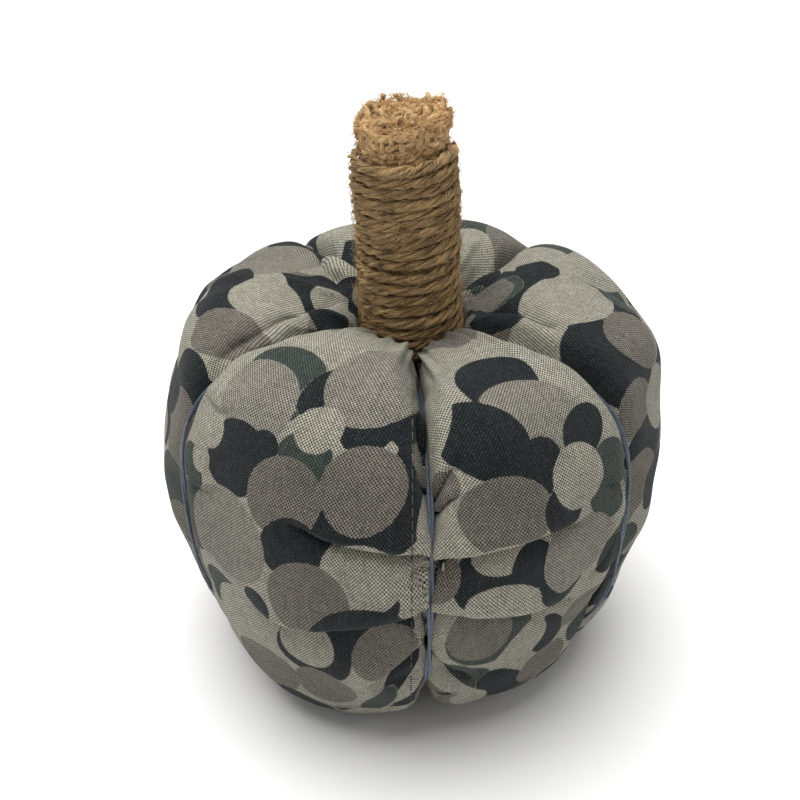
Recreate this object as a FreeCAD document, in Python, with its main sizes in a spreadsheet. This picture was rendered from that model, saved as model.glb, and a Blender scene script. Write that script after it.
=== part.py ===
import FreeCAD, Part

import math
import os

from FreeCAD import Placement, Rotation, Vector

# A stuffed fabric pumpkin. A tube of printed canvas is gathered at both ends over a ball of
# fibrefill, five doubled threads pull it into lobes, and a stem of rolled burlap, wound with
# jute twine, is glued into the dimple on top.
#
# Millimetres, +Z up. The origin is on the surface that the pumpkin stands on, under the middle
# of its outline. The front is -Y. The core, which the threads run through, stands a little to
# one side of the origin, because the lobes are not all the same width.

DIMENSIONS = {
    "body_radius": (63.5, "core to the middle of a lobe, at its widest"),
    "equator_height": (65.0, "height of the widest place"),
    "crest_height": (101.0, "top of the lobes"),
    "crest_radius": (34.0, "core to the top line of a lobe"),
    "foot_radius": (32.0, "core to the line that a lobe stands on"),
    "pit_radius": (13.6, "dimple that the stem is pushed into"),
    "pit_wall": (8.0, "how far the lobes drop into the dimple"),
    "pit_corner": (3.0, "width of the rounded corner at the foot of the dimple's wall"),
    "pit_floor_height": (90.0, "cloth under the rim of the stem"),
    "top_hole_height": (88.5, "gathered edge at the top"),
    "foot_hole_height": (8.0, "gathered edge underneath"),
    "hole_radius": (4.0, "hole that gathering leaves"),
    "crease_radius": (58.0, "core to the bottom of a crease, at its widest"),
    "crease_crest_height": (94.5, "top of a crease"),
    "crease_crest_radius": (30.0, "core to the top of a crease"),
    "crease_foot_height": (5.0, "lowest place of a crease"),
    "crease_pit_wall": (3.0, "how far a crease drops into the dimple"),
    "core_shift_right": (-0.15, "core from the middle of the outline, along +X"),
    "core_shift_back": (-1.36, "core from the middle of the outline, along +Y"),
    "standing_flat": (0.35, "how much of a lobe's roundness is pressed flat where it stands"),
    "cloth_thickness": (0.7, "canvas"),
    "clearance": (0.3, "between soft pieces"),
    "strand_diameter": (0.6, "one strand of the rib thread"),
    "strand_spacing": (0.66, "between the two strands of a doubled thread"),
    "thread_stand_off": (1.4, "centre of a strand above the bottom of its crease"),
    "thread_core_radius": (1.8, "core to the threads that run down it"),
    "thread_turn_depth": (2.0, "edge of the top hole down to where a rib thread runs straight"),
    "core_channel_radius": (2.8, "channel through the fibrefill"),
    "core_overrun": (20.0, "how far the cutters round the core reach past the ball"),
    "knot_radius": (1.1, "knot that ties a rib thread"),
    "knot_height": (6.4, "centre of the knots"),
    "knot_circle_radius": (2.2, "core to a knot"),
    "gather_thread_radius": (0.35, "drawn thread at each end"),
    "gather_ring_radius": (3.8, "ring that a drawn thread makes"),
    "seam_thread_radius": (0.25, "stitches of the side seam"),
    "stem_base_height": (94.0, "underside of the stem"),
    "stem_length": (52.0, "burlap roll"),
    "stem_lean": (2.6, "degrees that the stem leans to -X"),
    "roll_core_radius": (1.0, "hollow in the middle of the roll"),
    "roll_pitch": (1.03, "growth of the roll with each turn"),
    "roll_turns": (8.0, "turns of the strip"),
    "burlap_thickness": (0.9, "burlap"),
    "twine_diameter": (2.5, "jute twine"),
    "twine_pitch": (2.68, "from one winding to the next"),
    "twine_turns": (15.95, "windings on the stem"),
    "twine_bare_foot": (1.45, "underside of the stem to the middle of the first winding"),
    "twine_gap": (0.1, "burlap roll to the twine"),
    "stem_glue_radius": (9.6, "pad of glue under the stem"),
    "stem_glue_depth": (3.4, "pad of glue under the stem"),
    "twine_glue_radius": (1.25, "bead of glue at the end of the twine"),
    "glue_gap": (0.05, "glue to what it holds"),
}

# Compass bearings of the five creases, in degrees from the front, towards the right hand side.
CREASES = {"left": -62.0, "front": 4.5, "right": 56.0, "back_right": 137.0, "back_left": 217.0}
SEAM_BEARING = 0.5

# Fullness of the outline: 2 is an ellipse, and more is squarer.
FULLNESS_BELOW = 2.1
FULLNESS_ABOVE = 2.3
CREASE_FULLNESS = 2.9

# How a rib thread passes over the edge of the top hole: how far out from the edge, and above it.
OVER_THE_EDGE = ((1.6, 1.8), (-1.0, 0.9))

# A bend of a route gets an arc that takes this share of the shorter run beside it. A bend of
# less than this many degrees gets none.
ARC_SHARE = 0.45
SMALLEST_BEND = 0.5

# Halvings of an arc, to find where the side seam crosses it.
HALVINGS = 40

doc = FreeCAD.newDocument("stuffed_pumpkin")
sheet = doc.addObject("Spreadsheet::Sheet", "dimensions")
for row, (alias, (value, meaning)) in enumerate(DIMENSIONS.items(), start=1):
    sheet.set(f"A{row}", alias)
    sheet.set(f"B{row}", str(value))
    sheet.set(f"C{row}", meaning)
    sheet.setAlias(f"B{row}", alias)
doc.recompute()


def size(alias):
    """The value of one driving dimension."""
    return float(sheet.get(alias))


def bind(item, **sizes):
    """Binds properties of a document object to cells of the sheet."""
    for name, formula in sizes.items():
        item.setExpression(name, formula)
    return item


def labelled(kind, label):
    """A new document object, whose label names its piece."""
    item = doc.addObject(kind, label)
    item.Label = label
    return item


def feature(label, shape, placement=None):
    """A piece whose shape is made here, because no parametric feature makes it."""
    item = labelled("Part::Feature", label)
    item.Shape = shape
    item.Placement = placement or Placement()
    return item


def cut(label, base, tool):
    """base with tool taken away."""
    item = labelled("Part::Cut", label)
    item.Base = base
    item.Tool = tool
    return item


def fuse(label, *shapes):
    """Several objects as one solid."""
    item = labelled("Part::MultiFuse", label)
    item.Shapes = list(shapes)
    return item


def in_core_frame(radius, bearing, height):
    """The point at a distance from the core, on a compass bearing, at a height."""
    turn = math.radians(bearing)
    across = size("core_shift_right") + radius * math.sin(turn)
    back = size("core_shift_back") - radius * math.cos(turn)
    return Vector(across, back, height)


# ---------------------------------------------------------------- the outline of the ball


def full_quarter(share, fullness):
    """Out and up, each from 0 to 1, at a share of the way along a full quarter turn."""
    power = 2.0 / fullness
    angle = share * math.pi / 2
    return max(math.cos(angle), 0.0) ** power, math.sin(angle) ** power


def shares(count):
    """The ends of count equal steps, from above 0 up to 1."""
    return [step / count for step in range(1, count + 1)]


def outline(inset, crease):
    """The (radius, height) points of a lobe's middle line, or of a crease, from the hole
    underneath, out round the side and into the dimple. inset moves it towards the inside."""
    widest = size("crease_radius" if crease else "body_radius") - inset
    equator = size("equator_height")
    crest = size("crease_crest_height" if crease else "crest_height") - inset
    foot = (size("crease_foot_height") if crease else -size("standing_flat")) + inset
    crest_radius = size("crease_crest_radius" if crease else "crest_radius")
    foot_radius = size("foot_radius")
    pit_radius = size("pit_radius") + inset
    wall_foot = crest - size("crease_pit_wall" if crease else "pit_wall")
    floor = size("pit_floor_height") - inset
    floor_radius = pit_radius - size("pit_corner")
    hole = size("hole_radius")
    foot_hole = size("foot_hole_height") + inset
    top_hole = size("top_hole_height") - inset
    fullness_below = CREASE_FULLNESS if crease else FULLNESS_BELOW
    fullness_above = CREASE_FULLNESS if crease else FULLNESS_ABOVE

    points = [(hole, foot_hole)]
    for share in shares(4):  # the underside, from the hole down to the foot line
        angle = (1 - share) * math.pi / 2
        radius = foot_radius - (foot_radius - hole) * math.sin(angle)
        points.append((radius, foot_hole - (foot_hole - foot) * math.cos(angle)))
    for share in shares(7):  # the foot line up to the widest place
        out, down = full_quarter(1 - share, fullness_below)
        radius = foot_radius + (widest - foot_radius) * out
        points.append((radius, equator - (equator - foot) * down))
    for share in shares(6):  # the widest place up to the crest
        out, up = full_quarter(share, fullness_above)
        radius = crest_radius + (widest - crest_radius) * out
        points.append((radius, equator + (crest - equator) * up))
    for share in shares(4):  # the crest down the wall of the dimple
        angle = share * math.pi / 2
        radius = crest_radius - (crest_radius - pit_radius) * math.sin(angle)
        points.append((radius, wall_foot + (crest - wall_foot) * math.cos(angle)))
    for share in shares(2):  # the corner at the foot of that wall
        angle = share * math.pi / 2
        radius = floor_radius + (pit_radius - floor_radius) * math.cos(angle)
        points.append((radius, wall_foot - (wall_foot - floor) * math.sin(angle)))
    points.append((hole, top_hole))
    return points


def lobe_arcs(inset):
    """For each level of the outline, one arc per lobe: from crease to crease, over its middle."""
    bearings = sorted(CREASES.values())
    levels = []
    for (crease_r, crease_z), (lobe_r, lobe_z) in zip(outline(inset, True), outline(inset, False)):
        arcs = []
        for here, there in zip(bearings, bearings[1:] + [bearings[0] + 360.0]):
            start = in_core_frame(crease_r, here, crease_z)
            middle = in_core_frame(lobe_r, (here + there) / 2, lobe_z)
            end = in_core_frame(crease_r, there, crease_z)
            arcs.append(Part.Arc(start, middle, end).toShape())
        levels.append(arcs)
    return levels


def lobed_solid(inset):
    """The whole ball, filled, with its surface moved in by inset and its underside flat where it
    stands."""
    ball = Part.makeLoft([Part.Wire(arcs) for arcs in lobe_arcs(inset)], True, True)
    reach = 2 * size("body_radius")
    below = Part.makeBox(2 * reach, 2 * reach, reach, Vector(-reach, -reach, inset - reach))
    return ball.cut(below)


def core_cylinder(label, radius_formula):
    """A cylinder round the core, longer than the ball is tall."""
    item = bind(
        labelled("Part::Cylinder", label),
        Radius=radius_formula,
        Height="dimensions.crest_height + 2 * dimensions.core_overrun",
    )
    item.Placement = Placement(in_core_frame(0, 0, -size("core_overrun")), Rotation())
    return item


# ---------------------------------------------------------------- threads


def offset_points(points, distance):
    """An open (radius, height) line moved to its outer side."""
    moved = []
    for index, (radius, height) in enumerate(points):
        before = points[max(index - 1, 0)]
        after = points[min(index + 1, len(points) - 1)]
        run = math.hypot(after[0] - before[0], after[1] - before[1])
        along = ((after[0] - before[0]) / run, (after[1] - before[1]) / run)
        moved.append((radius + distance * along[1], height - distance * along[0]))
    return moved


def rounded_wire(points):
    """Straight runs joined by tangent arcs, each arc as large as its two runs allow."""
    edges = []
    last = points[0]
    for before, corner, after in zip(points, points[1:], points[2:]):
        inward, outward = corner - before, after - corner
        turn = inward.getAngle(outward)
        if turn < math.radians(SMALLEST_BEND):
            continue
        reach = ARC_SHARE * min(inward.Length, outward.Length)
        inward.normalize()
        outward.normalize()
        start, end = corner - inward * reach, corner + outward * reach
        radius = reach / math.tan(turn / 2)
        bisector = (outward - inward).normalize()
        centre = corner + bisector * (radius / math.cos(turn / 2))
        edges.append(Part.LineSegment(last, start).toShape())
        edges.append(Part.Arc(start, centre - bisector * radius, end).toShape())
        last = end
    edges.append(Part.LineSegment(last, points[-1]).toShape())
    return Part.Wire(edges)


def strand(points, radius):
    """A round strand swept along a route."""
    route = rounded_wire(points)
    start = (points[1] - points[0]).normalize()
    section = Part.Wire(Part.makeCircle(radius, points[0], start))
    return route.makePipeShell([section], True, True)


def thread_route():
    """(radius, height) points of a rib thread: from its knot out along the crease, up the side,
    over into the dimple, through the hole and down the core back to the knot."""
    crease = offset_points(outline(0.0, True), size("thread_stand_off"))
    knot = (size("knot_circle_radius"), size("knot_height"))
    core = size("thread_core_radius")
    edge_radius, edge_height = size("hole_radius"), size("top_hole_height")
    over_edge = [(edge_radius + out, edge_height + up) for out, up in OVER_THE_EDGE]
    down_core = [(core, edge_height - size("thread_turn_depth")), (core, size("knot_height"))]
    return [knot] + crease[1:-1] + over_edge + down_core


def rib_thread(label, bearing):
    """A doubled thread that pulls one crease in, tied in a loop by its knot."""
    turn = math.radians(bearing)
    sideways = Vector(math.cos(turn), math.sin(turn), 0)
    strands = []
    for side in (-0.5, 0.5):
        shift = sideways * (side * size("strand_spacing"))
        points = [in_core_frame(r, bearing, z) + shift for r, z in thread_route()]
        solid = strand(points, size("strand_diameter") / 2)
        strands.append(feature(f"{label}_strand_{'left' if side < 0 else 'right'}", solid))
    knot = bind(labelled("Part::Sphere", f"{label}_knot"), Radius="dimensions.knot_radius")
    place = in_core_frame(size("knot_circle_radius"), bearing, size("knot_height"))
    knot.Placement = Placement(place, Rotation(Vector(0, 0, 1), bearing))
    return fuse(label, knot, *strands)


def seam_points(inset):
    """Points of the side seam, where the levels of the ball cross its bearing."""
    points = []
    for arcs in lobe_arcs(inset):
        for arc in arcs:
            low, high = arc.ParameterRange
            ends = [bearing_of(arc.valueAt(low)), bearing_of(arc.valueAt(high))]
            if not ends[0] <= SEAM_BEARING <= ends[1] or ends[1] - ends[0] > 180:
                continue
            for _ in range(HALVINGS):
                middle = (low + high) / 2
                if bearing_of(arc.valueAt(middle)) < SEAM_BEARING:
                    low = middle
                else:
                    high = middle
            points.append(arc.valueAt(low))
    return points


def bearing_of(point):
    """The compass bearing of a point, seen from the core."""
    core = in_core_frame(0, 0, 0)
    return math.degrees(math.atan2(point.x - core.x, core.y - point.y))


# ---------------------------------------------------------------- the stem


def stem_placement():
    """Where the stem stands, with its lean."""
    lean = Rotation(Vector(0, 1, 0), -size("stem_lean"))
    return Placement(in_core_frame(0, 0, size("stem_base_height")), lean)


def origin_plane(body, role):
    """One of a body's own origin planes."""
    return next(item for item in body.Origin.OriginFeatures if item.Role == role)


def half_turns(first_radius, pitch, turns):
    """The half circles of a flat spiral: those above the line share one centre, those below it
    another, half a pitch away."""
    arcs = []
    for half in range(int(2 * turns)):
        below = half % 2
        centre = Vector(below * pitch / 2, 0, 0)
        circle = Part.Circle(centre, Vector(0, 0, 1), first_radius + half * pitch / 2)
        arcs.append(Part.ArcOfCircle(circle, below * math.pi, (1 + below) * math.pi))
    return arcs


def burlap_roll():
    """A strip of burlap rolled up tight: a spiral band in a sketch, padded to the stem's length."""
    body = labelled("PartDesign::Body", "burlap_roll")
    sketch = body.newObject("Sketcher::SketchObject", "burlap_roll_section")
    sketch.AttachmentSupport = [(origin_plane(body, "XY_Plane"), "")]
    sketch.MapMode = "FlatFace"
    inside = half_turns(size("roll_core_radius"), size("roll_pitch"), size("roll_turns"))
    outer_start = size("roll_core_radius") + size("burlap_thickness")
    outside = half_turns(outer_start, size("roll_pitch"), size("roll_turns"))
    for arc in inside + outside:
        sketch.addGeometry(arc, False)
    sketch.addGeometry(Part.LineSegment(inside[0].StartPoint, outside[0].StartPoint), False)
    sketch.addGeometry(Part.LineSegment(inside[-1].EndPoint, outside[-1].EndPoint), False)
    pad = body.newObject("PartDesign::Pad", "burlap_roll_length")
    pad.Profile = sketch
    bind(pad, Length="dimensions.stem_length")
    body.Placement = stem_placement()
    return body


def twine_wrap():
    """The twine, as a helix that climbs the stem, with one winding on the next."""
    helix = bind(
        labelled("Part::Helix", "twine_route"),
        Pitch="dimensions.twine_pitch",
        Height="dimensions.twine_pitch * dimensions.twine_turns",
        Radius="dimensions.roll_core_radius + dimensions.roll_pitch * dimensions.roll_turns"
        " + dimensions.burlap_thickness + dimensions.twine_diameter / 2 + dimensions.twine_gap",
    )
    foot = Placement(Vector(0, 0, size("twine_bare_foot")), Rotation())
    helix.Placement = stem_placement() * foot
    doc.recompute()
    section = bind(labelled("Part::Circle", "twine_section"), Radius="dimensions.twine_diameter / 2")
    upright = Rotation(Vector(1, 0, 0), 90)
    section.Placement = helix.Placement * Placement(Vector(helix.Radius.Value, 0, 0), upright)
    wrap = labelled("Part::Sweep", "twine_wrap")
    wrap.Sections = [section]
    wrap.Spine = (helix, ["Edge1"])
    wrap.Solid = True
    wrap.Frenet = True
    return wrap


def stem_glue(ball, threads):
    """The pad of glue between the stem and the cloth, pressed round the threads under it."""
    pad = bind(
        labelled("Part::Cylinder", "stem_glue_blank"),
        Radius="dimensions.stem_glue_radius",
        Height="dimensions.stem_glue_depth",
    )
    under = Placement(Vector(0, 0, -size("stem_glue_depth") - size("glue_gap")), Rotation())
    pad.Placement = stem_placement() * under
    pressed = cut("stem_glue_on_cloth", pad, ball)
    return cut("stem_glue", pressed, fuse("threads_under_stem", *threads))


def twine_end_glue():
    """The bead of glue that the twine's upper end runs into, against the roll."""
    bead = bind(labelled("Part::Sphere", "twine_end_glue"), Radius="dimensions.twine_glue_radius")
    out = doc.getObject("twine_route").Radius.Value
    climb = size("twine_bare_foot") + size("twine_pitch") * size("twine_turns")
    past_end = (size("twine_glue_radius") + size("glue_gap")) / out
    turn = 2 * math.pi * size("twine_turns") + past_end
    spot = Vector(out * math.cos(turn), out * math.sin(turn), climb)
    bead.Placement = stem_placement() * Placement(spot, Rotation())
    return bead


# ---------------------------------------------------------------- the pieces

ball = feature("ball", lobed_solid(0.0))
lining = feature("lining", lobed_solid(size("cloth_thickness")))
hole = core_cylinder("gathered_holes", "dimensions.hole_radius + dimensions.clearance")
fabric_cover = cut("fabric_cover", cut("cover_skin", ball, lining), hole)

threads = [rib_thread(f"rib_thread_{name}", bearing) for name, bearing in CREASES.items()]

stitch_radius = size("seam_thread_radius")
seam_route = seam_points(size("cloth_thickness") + size("clearance") + stitch_radius)[1:-1]
side_seam_thread = feature("side_seam_thread", strand(seam_route, stitch_radius))
seam_slot = feature("seam_slot", strand(seam_route, stitch_radius + size("clearance")))

half_cloth = size("cloth_thickness") / 2
edge_heights = {"top": size("top_hole_height") - half_cloth, "bottom": size("foot_hole_height") + half_cloth}
gather_threads = []
for name, height in edge_heights.items():
    ring = bind(
        labelled("Part::Torus", f"{name}_gather_thread"),
        Radius1="dimensions.gather_ring_radius",
        Radius2="dimensions.gather_thread_radius",
    )
    ring.Placement = Placement(in_core_frame(0, 0, height), Rotation())
    gather_threads.append(ring)

filling = feature("filling", lobed_solid(size("cloth_thickness") + size("clearance")))
channel = core_cylinder("core_channel", "dimensions.core_channel_radius")
fibrefill = cut("fibrefill", cut("filling_with_channel", filling, channel), seam_slot)

roll = burlap_roll()
wrap = twine_wrap()
glue = stem_glue(ball, threads)
bead = twine_end_glue()

doc.recompute()

PIECES = [fabric_cover, fibrefill, side_seam_thread, *gather_threads, *threads, roll, wrap, glue, bead]

for item in doc.Objects:
    if "Invalid" in item.State or "Error" in item.State:
        raise RuntimeError(f"{item.Label} did not compute: {item.State}")
for piece in PIECES:
    shape = piece.Shape
    if shape.isNull() or not shape.isValid() or not shape.Solids:
        raise RuntimeError(f"{piece.Label} has no valid solid")
    shape.exportStep(f"parts/{piece.Label}.step")
    box = shape.BoundBox
    print(
        f"{piece.Label}: {len(shape.Solids)} solid, {shape.Volume:.1f} mm3,"
        f" x {box.XMin:.2f} {box.XMax:.2f}, y {box.YMin:.2f} {box.YMax:.2f}, z {box.ZMin:.2f} {box.ZMax:.2f}"
    )
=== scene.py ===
import math

import bpy
import numpy as np
from mathutils import Euler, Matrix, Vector


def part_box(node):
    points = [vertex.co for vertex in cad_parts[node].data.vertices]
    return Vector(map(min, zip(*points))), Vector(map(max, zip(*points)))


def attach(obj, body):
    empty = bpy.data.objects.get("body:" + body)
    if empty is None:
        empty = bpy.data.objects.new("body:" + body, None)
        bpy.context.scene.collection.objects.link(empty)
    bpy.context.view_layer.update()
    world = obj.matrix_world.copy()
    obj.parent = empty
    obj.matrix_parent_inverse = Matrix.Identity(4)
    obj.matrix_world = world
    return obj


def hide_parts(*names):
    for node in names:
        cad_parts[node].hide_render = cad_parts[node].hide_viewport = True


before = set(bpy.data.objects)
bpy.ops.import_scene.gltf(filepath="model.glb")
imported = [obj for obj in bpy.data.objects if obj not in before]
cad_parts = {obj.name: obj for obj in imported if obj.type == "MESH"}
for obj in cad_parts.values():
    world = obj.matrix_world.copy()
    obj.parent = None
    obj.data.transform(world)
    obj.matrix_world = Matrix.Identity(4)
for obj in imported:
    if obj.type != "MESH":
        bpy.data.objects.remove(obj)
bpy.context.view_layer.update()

# The looks of a stuffed fabric pumpkin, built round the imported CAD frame. Everything is worked out
# in millimetres in the row frame, +Z up and the front at -Y, and becomes metres in new_mesh().
# Bearings are degrees round the core, from the front towards +X.

MM = 1000.0


def cad_box(node):
    """Lowest and highest corner of a CAD node, in millimetres."""
    low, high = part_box(node)
    return np.array(low) * MM, np.array(high) * MM


def cad_bearing(node):
    """The bearing of the crease that a rib thread runs in: that of its outermost points."""
    points = np.array([vertex.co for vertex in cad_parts[node].data.vertices]) * MM - CORE
    out = np.hypot(points[:, 0], points[:, 1])
    outermost = points[out > 0.95 * out.max()].mean(axis=0)
    return math.degrees(math.atan2(outermost[0], -outermost[1]))


# ---------------------------------------------------------------- sizes from the CAD frame

top_ring_low, top_ring_high = cad_box("top_gather_thread")
CORE = np.array([*(top_ring_low + top_ring_high)[:2] / 2, 0.0])
cover_high = cad_box("fabric_cover")[1]
roll_low, roll_high = cad_box("burlap_roll")

# The bearings of the creases. Going round from the front, back_left is past the back.
CREASES = {name: cad_bearing(f"rib_thread_{name}") for name in ("left", "front", "right", "back_right")}
CREASES["back_left"] = cad_bearing("rib_thread_back_left") % 360
BODY_RADIUS = cover_high[1] - CORE[1]
CREST_HEIGHT = cover_high[2]
TOP_HOLE = top_ring_high[2]
FOOT_HOLE = cad_box("bottom_gather_thread")[0][2]
STEM_LEAN = math.radians(2.6)
LEAN_DIP = 0.4  # how far the edges of the leaning roll's ends are from the height of their middles
STEM_FOOT = roll_low[2] + LEAN_DIP
STEM_LENGTH = roll_high[2] - LEAN_DIP - STEM_FOOT
LOOSENESS = 0.7  # how much further out the loose cloth of the roll is than the CAD's
ROLL_RADIUS = (roll_high[1] - roll_low[1]) / 2 + LOOSENESS

# ---------------------------------------------------------------- the shape of a lobe

EQUATOR = 65.0
HOLE_RADIUS = 4.0
BEND_SAMPLES = 60
LOBE_BENDS = [  # (radius, height, fullness, leaves flat) of the end of each bend of a lobe's outline
    (32.0, 0.0, 2.0, False),
    (BODY_RADIUS, EQUATOR, 2.1, True),
    (34.0, CREST_HEIGHT, 2.3, False),
    (13.4, CREST_HEIGHT - 7.0, 2.0, True),
    (HOLE_RADIUS, TOP_HOLE, 2.4, False),
]
SHALLOW_CREASES = ("left", "right")  # at the shoulders these are less deep than the others
VALLEY_FOOT, CREASE_FOOT = FOOT_HOLE + 1.0, FOOT_HOLE + 4.0


def valley_bends(crease):
    """The bends of the outline of the open valley between two lobes."""
    shoulder = (36.0, CREST_HEIGHT - 4.5) if crease in SHALLOW_CREASES else (34.0, CREST_HEIGHT - 6.0)
    return [
        (36.0, 17.0, 2.0, False),
        (BODY_RADIUS - 4.2, EQUATOR, 2.9, True),
        (*shoulder, 2.9, False),
        (13.4, CREST_HEIGHT - 9.0, 2.0, True),
        (HOLE_RADIUS, TOP_HOLE - 1.0, 2.4, False),
    ]


def crease_bends(crease):
    """The bends of the outline of the tight crease at the bottom of that valley."""
    shoulder = (35.0, CREST_HEIGHT - 9.5) if crease in SHALLOW_CREASES else (30.0, CREST_HEIGHT - 14.0)
    return [
        (36.0, 20.0, 2.0, False),
        (BODY_RADIUS - 5.2, EQUATOR, 2.9, True),
        (*shoulder, 2.7, False),
        (13.4, CREST_HEIGHT - 16.0, 2.0, True),
        (HOLE_RADIUS, TOP_HOLE - 5.0, 2.4, False),
    ]


CREASE_ROUNDING = 1.3
# How steeply a lobe rises from its creases, at some heights: less is a tighter, deeper crease.
RISE_HEIGHTS = [0.0, 12.0, 28.0, 72.0, 88.0, 101.0]
RISE_POWERS = [0.6, 0.65, 0.85, 0.75, 0.6, 0.55]

SIM_ROWS, SIM_COLUMNS = 144, 72
LOBES = {  # the creases on both sides, and how this lobe differs: its radius near the foot, low
    # down, at its waist, shoulder and crest, and the height of its crest
    "front_left": ("left", "front", 2.4, -1.0, 0.0, -0.5, 0.0, 0.0),
    "front_right": ("front", "right", -0.6, -4.0, -0.6, 0.0, 0.0, -0.4),
    "right": ("right", "back_right", -0.5, -1.8, -1.2, -0.6, 3.8, 1.4),
    "back": ("back_right", "back_left", 0.0, 0.0, 0.0, 0.0, 1.0, 0.6),
    "left": ("back_left", "left", 0.8, 0.2, -1.4, -3.2, 4.2, 0.8),
}
LEVELS = [0.0, 9.0, 27.0, EQUATOR, 84.0, CREST_HEIGHT]


def ramp(value, low, high):
    """0 up to low, 1 from high, and a straight line between."""
    return np.clip((value - low) / (high - low), 0, 1)


def eased(share):
    """A share from 0 to 1, with a gentle start and end."""
    return share * share * (3 - 2 * share)


def bend(start, end, fullness, leaves_flat):
    """Points of a full quarter turn, which leaves start along the radius or along the height."""
    angle = np.linspace(0, math.pi / 2, BEND_SAMPLES)
    power = 2 / fullness
    ahead = np.sin(angle) ** power
    behind = 1 - np.maximum(np.cos(angle), 0) ** power
    out, up = (ahead, behind) if leaves_flat else (behind, ahead)
    return np.stack([start[0] + (end[0] - start[0]) * out, start[1] + (end[1] - start[1]) * up], 1)


def outline(bends, foot_hole):
    """(radius, height) points from the hole underneath, out round the side and into the dimple."""
    start = (HOLE_RADIUS, foot_hole)
    parts = []
    for radius, height, fullness, leaves_flat in bends:
        parts.append(bend(start, (radius, height), fullness, leaves_flat))
        start = (radius, height)
    return np.concatenate(parts)


def travelled(points):
    """Distance along a line of points, from its first."""
    steps = np.linalg.norm(np.diff(points, axis=0), axis=1)
    return np.concatenate([[0.0], np.cumsum(steps)])


def resampled(points, distances, wanted):
    """A line of points, read at other distances along it."""
    return np.stack([np.interp(wanted, distances, points[:, axis]) for axis in range(points.shape[1])], 1)


def lobe_lines(lobe, rows):
    """The middle line of a lobe, then the valley and crease lines on both its sides, level by
    level, and the distance along the middle line."""
    foot_out, *side_out, crest_up = LOBES[lobe][2:]
    middle = outline(LOBE_BENDS, FOOT_HOLE)
    sides = [
        (outline(valley_bends(crease), VALLEY_FOOT), outline(crease_bends(crease), CREASE_FOOT))
        for crease in LOBES[lobe][:2]
    ]
    out = np.interp(middle[:, 1], LEVELS, [foot_out, foot_out, *side_out])
    middle[:, 0] += out * ramp(middle[:, 0], 16.0, 32.0)
    middle[:, 1] += crest_up * ramp(middle[:, 1], 80.0, 100.0)
    along = travelled(middle)
    wanted = np.linspace(0, along[-1], rows + 1)
    sides = [[resampled(line, along, wanted) for line in pair] for pair in sides]
    return resampled(middle, along, wanted), sides, wanted


def bearings_of(lobe):
    """The bearings of a lobe's two creases, the second one always the larger."""
    first, second = (CREASES[name] for name in LOBES[lobe][:2])
    return (first - 360 if first > second else first), second


def polar(radius, bearing, height):
    """Points at distances from the core, on bearings in radians, at heights."""
    return np.stack([CORE[0] + radius * np.sin(bearing), CORE[1] - radius * np.cos(bearing), height], -1)


def lobe_surface(lobe, rows, columns):
    """The smooth surface of a lobe as a grid of points, and each point's place on the cloth: how
    far it is across from the middle line, and along from the hole underneath."""
    middle, sides, along = lobe_lines(lobe, rows)
    first, second = (math.radians(angle) for angle in bearings_of(lobe))
    turn = np.linspace(-math.pi / 2, math.pi / 2, 4 * columns + 1)
    grid = np.zeros((rows + 1, columns + 1, 3))
    across = np.zeros((rows + 1, columns + 1))
    power = np.interp(middle[:, 1], RISE_HEIGHTS, RISE_POWERS)
    for row in range(rows + 1):
        rise = np.maximum(np.cos(turn), 0)[:, None] ** power[row]
        off_crease = middle[row, 0] * (second - first) / 2 * (1 - np.abs(np.sin(turn)))
        sink = np.exp(-off_crease / CREASE_ROUNDING)[:, None]
        valley, crease = (
            np.where((turn < 0)[:, None], before[row], after[row]) for before, after in zip(*sides)
        )
        section = valley + (middle[row] - valley) * rise + (crease - valley) * sink
        radius, height = section[:, 0], section[:, 1]
        bearing = (first + second) / 2 + (second - first) / 2 * np.sin(turn)
        line = polar(radius, bearing, height)
        distance = travelled(line)
        grid[row] = resampled(line, distance, np.linspace(0, distance[-1], columns + 1))
        across[row] = np.linspace(-distance[-1] / 2, distance[-1] / 2, columns + 1)
    return grid, across, np.repeat(along[:, None], columns + 1, axis=1)


def unit(vectors):
    """The same directions with a length of one."""
    return vectors / np.maximum(np.linalg.norm(vectors, axis=-1, keepdims=True), 1e-9)


def normals_of(grid):
    """Unit normals of a grid of points, pointing out of the body."""
    down = np.gradient(grid, axis=0)
    over = np.gradient(grid, axis=1)
    return unit(np.cross(over, down))


# ---------------------------------------------------------------- meshes


def new_mesh(name, points, faces, material):
    """A smooth mesh object from points in millimetres and arrays of faces, each array of one face size."""
    mesh = bpy.data.meshes.new(name)
    mesh.vertices.add(len(points))
    mesh.vertices.foreach_set("co", (np.asarray(points) / MM).astype(np.float32).ravel())
    corners = np.concatenate([part.ravel() for part in faces])
    counts = np.concatenate([np.full(len(part), part.shape[1]) for part in faces])
    mesh.loops.add(len(corners))
    mesh.loops.foreach_set("vertex_index", corners.astype(np.int32))
    mesh.polygons.add(len(counts))
    starts = np.concatenate([[0], np.cumsum(counts)[:-1]])
    mesh.polygons.foreach_set("loop_start", starts.astype(np.int32))
    mesh.polygons.foreach_set("use_smooth", np.ones(len(counts), bool))
    mesh.update(calc_edges=True)
    mesh.materials.append(material)
    item = bpy.data.objects.new(name, mesh)
    bpy.context.scene.collection.objects.link(item)
    return item


def grid_faces(rows, columns):
    """Quads of a grid with that many cells."""
    corner = (np.arange(rows)[:, None] * (columns + 1) + np.arange(columns)).ravel()
    return np.stack([corner, corner + 1, corner + columns + 2, corner + columns + 1], 1)


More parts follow.
